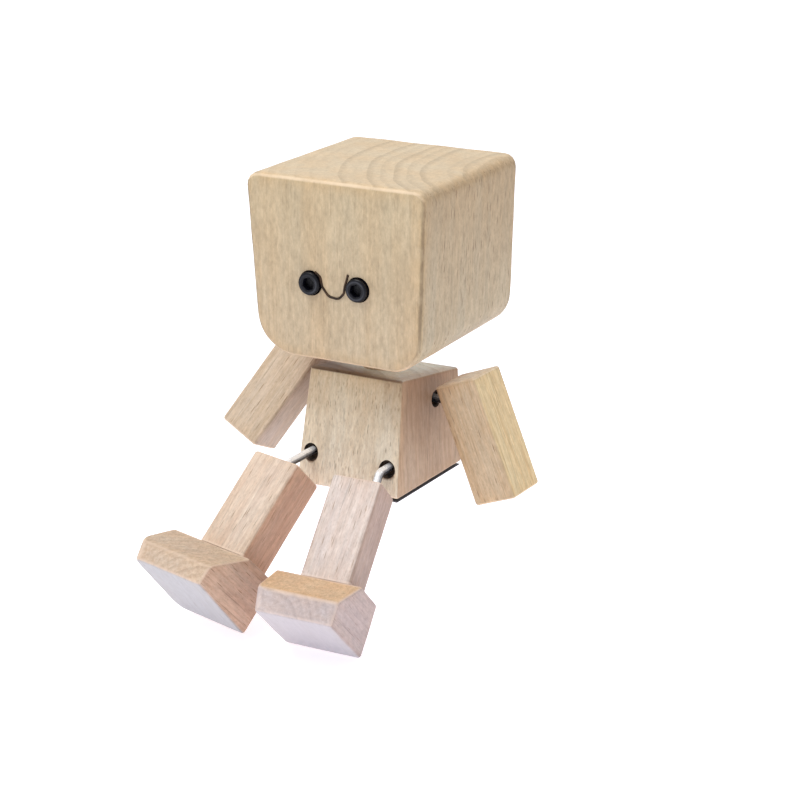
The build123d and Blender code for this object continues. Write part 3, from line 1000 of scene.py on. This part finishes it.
def torso():
    """The wedge body: four wire holes, and a top that leans a little to its left."""
    block = Block("torso", LEFT)
    middle = centre_of("torso")
    swings = [f"{side}_{swing}" for side in SIDES for swing in ("hip_swing", "shoulder_swing")]
    holes = [joint_hole(swing, middle) for swing in swings]
    piece = wooden_piece("torso", "torso", block, UP, holes)
    paint_head_shadow(piece)
    top = max(flat_faces("torso"), key=lambda face: face[0][2])[0]
    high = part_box("torso")[1][2]
    for vertex in piece.data.vertices:
        share = np.clip((vertex.co.z - LEAN_FROM) / (high - LEAN_FROM), 0, 1)
        vertex.co.z -= share * vertex.co.x * top[0] / top[2]


def head():
    """The head block, with the neck's bore and two counterbored screw holes."""
    rounds = (
        ((1, 0, -1), HEAD_LEFT_CHIN_ROUND),
        ((-1, 0, -1), HEAD_RIGHT_CHIN_ROUND),
        ((1, 0, 1), HEAD_TOP_ROUND),
        ((-1, 0, 1), HEAD_TOP_ROUND),
    )
    block = Block("head", FRONT, rounds, edge=HEAD_EDGE_ROUND)
    neck = np.array(JOINTS["neck_turn"]["pos_m"])
    holes = [(UNDER, neck, hole_profile(NECK_BORE_RADIUS, NECK_BORE_DEPTH))]
    for side in SIDES:
        profile = hole_profile(SCREW_BORE_RADIUS, SCREW_SUNK)
        holes.append((block.axis, screw_seat(side, block), profile))
    wooden_piece("head", "head", block, UP, holes)
    return block


def screw_seat(side, block):
    """The middle of an eye screw where it meets the face."""
    middle = centre_of(f"{side}_eye_screw")
    return middle + block.axis * (block.high[1] - middle @ block.axis)


def screw_ring(block, seat, height, radius, kind):
    """One ring of a screw's points: plain round, knurled, or six-sided for the socket."""
    right = unit(np.cross(block.axis, UP))
    up = np.cross(right, block.axis)
    ring = []
    for step in range(SCREW_STEPS):
        angle = math.tau * step / SCREW_STEPS
        out = radius
        if kind == KNURL:
            out -= KNURL_DEPTH * (step % 2)
        if kind == HEXAGON:
            turn = (angle + SOCKET_TURN) % (math.pi / 3) - math.pi / 6
            out *= math.cos(math.pi / 6) / math.cos(turn)
        spoke = right * math.cos(angle) + up * math.sin(angle)
        ring.append(seat + block.axis * height * MM + spoke * out * MM)
    return ring


def eye_screw(side, block):
    """A socket cap screw: a knurled head with a chamfer, and a deep hexagonal socket."""
    seat = screw_seat(side, block)
    vertices, zones = [], []
    for height, radius, kind in SCREW_PROFILE:
        vertices += screw_ring(block, seat, height, radius, kind)
        zones += [radius] * SCREW_STEPS
    last = len(vertices) - SCREW_STEPS
    faces = tube_faces(len(SCREW_PROFILE), SCREW_STEPS)
    faces.append(tuple(range(SCREW_STEPS - 1, -1, -1)))
    faces.append(tuple(range(last, last + SCREW_STEPS)))
    node = f"{side}_eye_screw"
    piece = new_object(node + "_turned", vertices, faces)
    piece.data.materials.append(BLACK_OXIDE)
    store(piece.data, "zone", "FLOAT", zones)
    finish_piece(piece, node, "head")


def arm(side):
    """A square arm block with the pin's bore in its inner face."""
    node = f"{side}_arm"
    block = Block(node, UP)
    place = np.array(JOINTS[f"{side}_arm_turn"]["pos_m"])
    axis = unit(JOINTS[f"{side}_arm_turn"]["axis"])
    if axis @ (centre_of(node) - place) > 0:
        axis = -axis
    inner_normal, inner_distance = max(flat_faces(node), key=lambda face: face[0] @ axis)
    mouth = place + axis * (inner_distance - place @ inner_normal) / (axis @ inner_normal)
    hole = (axis, mouth, hole_profile(BORE_RADIUS, ARM_BORE_DEPTH))
    wooden_piece(node, node, block, block.axis, [hole])


def leg(side):
    """A leg block with the pin's bore in its top end."""
    node = f"{side}_leg"
    place = np.array(JOINTS[f"{side}_leg_turn"]["pos_m"])
    block = Block(node, place - centre_of(node), end_rounds=(0, EDGE_ROUND))
    mouth = place + block.axis * (block.high[1] - place @ block.axis)
    hole = (block.axis, mouth, hole_profile(BORE_RADIUS, BORE_DEPTH))
    wooden_piece(node, node, block, block.axis, [hole])


def foot(side):
    """A foot block: grain from heel to toe, its right-hand corners rolled off."""
    node = f"{side}_foot"
    top_round, toe_corner, heel_corner = FOOT_ROUNDS[side]
    rolls = ((TOEWARD, toe_corner), (-np.array(TOEWARD), heel_corner))
    block = Block(node, LEFT, ((TOE_TOP, top_round),), rolls=rolls)
    toe = block.side_towards(TOEWARD)[0]
    grain = toe[0] * block.right + toe[1] * block.up
    wooden_piece(node, f"{side}_leg", block, grain)


BORED_SHADED = shaded_bored_wood()
BLACK_OXIDE = black_oxide()

# How each block looks: its palest and warmest colour, the gap between growth rings, how clear
# they are along the block and on its ends, and the strength of its other marks
ARM = dict(gap=2.6, rings=(0.12, 0.30), patchy=0.30)
LEG = dict(gap=2.3, rings=(0.12, 0.30), patchy=0.28, flecks=0.65, streaks=0.7)
LOOKS = {
    "head": dict(
        pale=(0.66, 0.52, 0.37), warm=(0.57, 0.43, 0.29), gap=3.1, rings=(0.03, 0.50),
        flecks=1.0, streaks=0.45, patchy=0.38, fibres=0.5, edge=HEAD_EDGE,
    ),
    "torso": dict(
        pale=(0.66, 0.53, 0.38), warm=(0.56, 0.42, 0.28), gap=3.1, rings=(0.12, 0.40),
        flecks=0.7, streaks=1.0, patchy=0.24, fibres=0.7, edge=TORSO_EDGE,
    ),
    "left_arm": dict(
        ARM, pale=(0.65, 0.50, 0.34), warm=(0.55, 0.38, 0.23), flecks=0.8, streaks=0.9,
    ),
    "right_arm": dict(
        ARM, pale=(0.66, 0.51, 0.38), warm=(0.56, 0.41, 0.28), flecks=0.7, streaks=0.8,
    ),
    "left_leg": dict(LEG, pale=(0.70, 0.57, 0.49), warm=(0.59, 0.44, 0.36)),
    "right_leg": dict(LEG, pale=(0.70, 0.55, 0.44), warm=(0.59, 0.42, 0.32)),
    "left_foot": dict(
        pale=(0.64, 0.52, 0.46), warm=(0.55, 0.42, 0.36), gap=1.7, rings=(0.15, 0.40),
        flecks=0.5, streaks=0.8, patchy=0.34, pored=0.2,
    ),
    "right_foot": dict(
        pale=(0.64, 0.50, 0.40), warm=(0.54, 0.39, 0.30), gap=1.9, rings=(0.2, 0.45),
        flecks=0.9, streaks=1.2, patchy=0.30, pored=0.2,
    ),
}
BEECH = {node: beech(node, look) for node, look in LOOKS.items()}

# The cast of each face, mostly painted light and shade matched face by face along with the wood's
# own tone, as (direction, colour) or (direction, colour at top, colour at foot)
PLAIN = (1.0, 1.0, 1.0)
HIDDEN = tuple((direction, PLAIN) for direction in (RIGHT, BACK, UNDER))
TINTS_AND_SHADES = {
    "head": (
        (FRONT, (0.76, 0.78, 0.72), (0.81, 0.82, 0.80)),
        (LEFT, (0.69, 0.65, 0.56), (0.79, 0.84, 0.84)),
        (UP, (1.03, 1.06, 1.05), PLAIN),
        *HIDDEN,
    ),
    "torso": (
        (FRONT, (0.98, 1.03, 1.00), (1.45, 1.69, 2.05)),
        (LEFT, (0.88, 0.79, 0.75), (0.84, 0.78, 0.81)),
        (UP, (1.68, 2.35, 3.40), PLAIN),
        # Painted shadow of the head along the body's top front edge
        (UP_FRONT, (0.34, 0.25, 0.20), PLAIN),
        *HIDDEN,
    ),
    "left_arm": (
        (FRONT, (0.95, 0.97, 0.98), (0.95, 0.96, 0.97)),
        (LEFT, (1.16, 1.22, 1.11)),
        (UP, (1.64, 1.92, 2.34), PLAIN),
        *HIDDEN,
    ),
    "right_arm": (
        (FRONT, (0.92, 0.98, 1.03)),
        (LEFT, (0.85, 0.92, 1.06), (0.85, 0.92, 1.08)),
        (UP, PLAIN),
        *HIDDEN,
    ),
    "left_leg": (
        (TOEWARD, (1.03, 1.13, 1.24), (1.05, 1.15, 1.29)),
        (LEFT, (0.74, 0.68, 0.68), (0.67, 0.63, 0.64)),
        *HIDDEN,
    ),
    "right_leg": (
        (TOEWARD, (1.03, 1.10, 1.14), (1.04, 1.12, 1.18)),
        (LEFT, (0.94, 0.82, 0.77), (0.90, 0.78, 0.73)),
        *HIDDEN,
    ),
    "left_foot": (
        (UP, (1.06, 0.93, 0.68)),
        (TOEWARD, (0.87, 0.95, 1.10)),
        (LEFT, (0.82, 0.81, 0.88)),
        (SOLEWARD, (0.84, 0.96, 1.14)),
        *HIDDEN[:2],
    ),
    "right_foot": (
        (UP, (0.98, 1.00, 0.95)),
        (TOEWARD, (0.97, 1.00, 0.98)),
        (LEFT, (0.98, 0.92, 0.90), (0.98, 0.92, 0.93)),
        (SOLEWARD, (0.76, 0.95, 1.24)),
        *HIDDEN[:2],
    ),
}

# Blocks that cast painted shadow on each other where they come close
NEIGHBOURS = {
    "torso": ("left_arm", "right_arm"),
    "left_arm": ("torso",),
    "right_arm": ("torso",),
}

# Where each block's growth rings are centred: across, across, and along its grain, in millimetres
PITHS = {
    "head": (-48.0, -15.0, 3.0),
    "torso": (20.0, 34.0, 11.0),
    "left_arm": (14.0, 19.0, 4.0),
    "right_arm": (-17.0, 22.0, 31.0),
    "left_leg": (9.0, 26.0, 17.0),
    "right_leg": (-12.0, 24.0, 55.0),
    "left_foot": (7.0, 14.0, 2.0),
    "right_foot": (-9.0, 17.0, 40.0),
}

torso()
face = head()
for side in SIDES:
    arm(side)
    leg(side)
    eye_screw(side, face)
for side in SIDES:
    foot(side)

# A lit and a painted shaded copy of the same steel; the shoulder pins take the shaded one
LIT_STEEL = drawn_steel("lit_steel", 1.0)
SHADED_STEEL = drawn_steel("shaded_steel", 0.3)
CARRIED_OVER = {
    "left_hip_pin": LIT_STEEL,
    "right_hip_pin": LIT_STEEL,
    "left_shoulder_pin": SHADED_STEEL,
    "right_shoulder_pin": SHADED_STEEL,
    "neck_dowel": dowel_wood(),
    "smile_wire": annealed_wire(),
}
for node, material in CARRIED_OVER.items():
    mesh = frame["nodes"][node].data
    mesh.materials.clear()
    mesh.materials.append(material)


# ---- stage, lights, camera

def rectangle(low, high, inset, height):
    """The corners of a level rectangle, moved inward by inset."""
    x0, y0 = low[0] + inset, low[1] + inset
    x1, y1 = high[0] - inset, high[1] - inset
    return [(x, y, height) for x, y in ((x0, y0), (x1, y0), (x1, y1), (x0, y1))]


def stage():
    """A plain pale floor, and a plinth under the body that the legs hang in front of."""
    low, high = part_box("torso")
    floor_z = min(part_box(node)[0][2] for node in frame["nodes"]) - FLOOR_GAP
    floor = new_object("floor", rectangle(FLOOR_LOW, FLOOR_HIGH, 0.0, floor_z), [(0, 1, 2, 3)])
    bottom = rectangle(low, high, PLINTH_INSET, floor_z)
    top = rectangle(low, high, PLINTH_INSET, 0.0)
    walls = [(k, (k + 1) % 4, (k + 1) % 4 + 4, k + 4) for k in range(4)]
    plinth = new_object("plinth", bottom + top, [(3, 2, 1, 0), (4, 5, 6, 7)] + walls)
    material = pale_stage()
    for thing in (floor, plinth):
        glow = thing.data.attributes.new("glow", "FLOAT", "FACE")
        for index, face in enumerate(thing.data.polygons):
            # The plinth's top gets no glow and the dark colour: a painted contact shadow round the
            # body's foot
            on_top = thing is plinth and face.normal.z > 0.5
            glow.data[index].value = 0.0 if on_top else STAGE_GLOW
        thing.data.materials.append(material)


def key_light():
    """A large soft light from above the figure's front right."""
    lamp = bpy.data.lights.new("key", "AREA")
    lamp.shape = "DISK"
    lamp.size = KEY_SIZE
    lamp.energy = KEY_POWER
    lamp.color = KEY_COLOUR
    light = bpy.data.objects.new("key", lamp)
    link(light)
    aim = Vector(KEY_AIM)
    light.location = aim + Vector(KEY_TOWARDS).normalized() * KEY_DISTANCE
    light.rotation_euler = (aim - light.location).to_track_quat("-Z", "Y").to_euler()


def lights():
    """Plain soft studio light: a pale surround and one large key."""
    world = bpy.data.worlds.new("surround")
    world.use_nodes = True
    background = world.node_tree.nodes["Background"]
    background.inputs["Color"].default_value = (0.98, 0.99, 1.0, 1.0)
    background.inputs["Strength"].default_value = SURROUND
    bpy.context.scene.world = world
    key_light()


def camera():
    """The camera at the figure's front left, a little above it."""
    azimuth = math.radians(CAMERA_AZIMUTH)
    elevation = math.radians(CAMERA_ELEVATION)
    roll = math.radians(CAMERA_ROLL)
    level = Vector((math.cos(azimuth), math.sin(azimuth), 0))
    flat_back = Vector((math.sin(azimuth), -math.cos(azimuth), 0)) * math.cos(elevation)
    back = flat_back + Vector((0, 0, math.sin(elevation)))
    over = back.cross(level)
    right = level * math.cos(roll) + over * math.sin(roll)
    up = -level * math.sin(roll) + over * math.cos(roll)
    aim = level * CAMERA_AIM_RIGHT + Vector((0, 0, CAMERA_AIM_UP))
    lens = bpy.data.cameras.new("camera")
    lens.lens = CAMERA_LENS
    lens.sensor_width = SENSOR
    lens.clip_start = 0.01
    lens.clip_end = 30
    view = bpy.data.objects.new("camera", lens)
    axes = Matrix((right, up, back)).transposed().to_4x4()
    view.matrix_world = Matrix.Translation(aim + back * CAMERA_DISTANCE) @ axes
    link(view)
    bpy.context.scene.camera = view


stage()
lights()
camera()
bpy.context.scene.view_settings.view_transform = "Standard"
